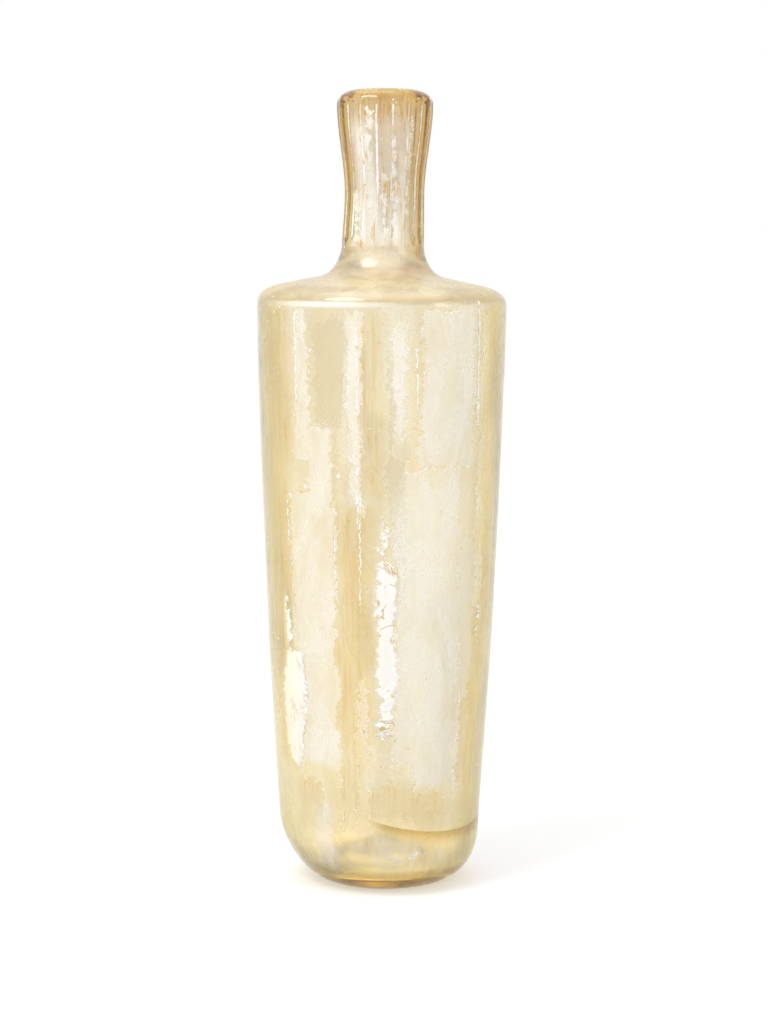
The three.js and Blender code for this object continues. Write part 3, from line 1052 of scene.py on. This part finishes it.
paper = bpy.data.materials.new("white_paper")
paper.use_nodes = True
paper_tree = paper.node_tree
sheet = paper_tree.nodes["Principled BSDF"]
sheet.inputs["Roughness"].default_value = 0.9
sheet.inputs["Specular IOR Level"].default_value = 0
floor_place = paper_tree.nodes.new("ShaderNodeTexCoord").outputs["Object"]
from_contact = paper_tree.nodes.new("ShaderNodeVectorMath")
from_contact.operation = "DISTANCE"
from_contact.inputs[1].default_value = (CONTACT_ASIDE, 0, 0)
feed(floor_place, from_contact.inputs[0])
reach = from_contact.outputs["Value"]
floor_ray = paper_tree.nodes.new("ShaderNodeLightPath").outputs
# Painted contact shadow: in the ring the paper is dark and its glow is off for the camera.
off_contact = rise(reach, CONTACT_RADIUS - 0.8 * MM, CONTACT_RADIUS + 0.5 * MM)
feed(mix_colours(off_contact, CONTACT_SHADOW, PAPER_WHITE), sheet.inputs["Base Color"])
shown = product(most(seen_in_glass(floor_ray), off_contact), seen_directly(floor_ray))
paper_glow = product(straight_between(reach, NEAR_FLOOR, FLOOR_RADIUS / 2, NEAR_GLOW, FAR_GLOW), shown)
under_bottle = rise(reach, REST_RADIUS, 2 * FOOT_RADIUS, GATHERED_GLOW, 0)
gathered = add_share(floor_ray["Is Transmission Ray"], GATHERED_MIRRORED, floor_ray["Is Glossy Ray"])
feed(add_share(paper_glow, gathered, under_bottle), sheet.inputs["Emission Strength"])
far_out = rise(reach, AMBER_LIGHT_FADE, AMBER_LIGHT_END)
feed(mix_colours(far_out, AMBER_LIGHT, WHITE), sheet.inputs["Emission Color"])
floor_data.materials.append(paper)

# The room and the lamps
# A white room with four soft lamps: a wide weak one at the front left, a strong one high above it, a weak one
# at the front right and a weak one overhead.
ROOM_LIGHT = 0.85
ROOM_SEEN = 1
LAMPS_FACE = Vector((0, 0, 0.15))

world = bpy.data.worlds.new("room")
world.use_nodes = True
room_ray = world.node_tree.nodes.new("ShaderNodeLightPath").outputs
sky = world.node_tree.nodes["Background"]
sky.inputs["Color"].default_value = WHITE
feed(straight_between(seen_directly(room_ray), 0, 1, ROOM_LIGHT, ROOM_SEEN), sky.inputs["Strength"])
bpy.context.scene.world = world


def soft_lamp(name, place, width, height, power):
    """An area lamp that faces the middle of the bottle."""
    data = bpy.data.lights.new(name, "AREA")
    data.shape = "RECTANGLE"
    data.size, data.size_y, data.energy = width, height, power
    lamp = bpy.data.objects.new(name, data)
    lamp.location = place
    lamp.rotation_mode = "QUATERNION"
    lamp.rotation_quaternion = (LAMPS_FACE - Vector(place)).to_track_quat("-Z", "Y")
    bpy.context.scene.collection.objects.link(lamp)


soft_lamp("window", (-0.95, -0.8, 0.75), 1.1, 0.5, 2)
soft_lamp("key", (-0.57, -0.515, 1.2), 0.55, 0.5, 9)
soft_lamp("side", (0.9, -0.6, 0.5), 0.3, 0.5, 2)
soft_lamp("overhead", (0, 0.1, 1.2), 0.8, 0.8, 1.5)

bpy.context.scene.view_settings.view_transform = "Standard"
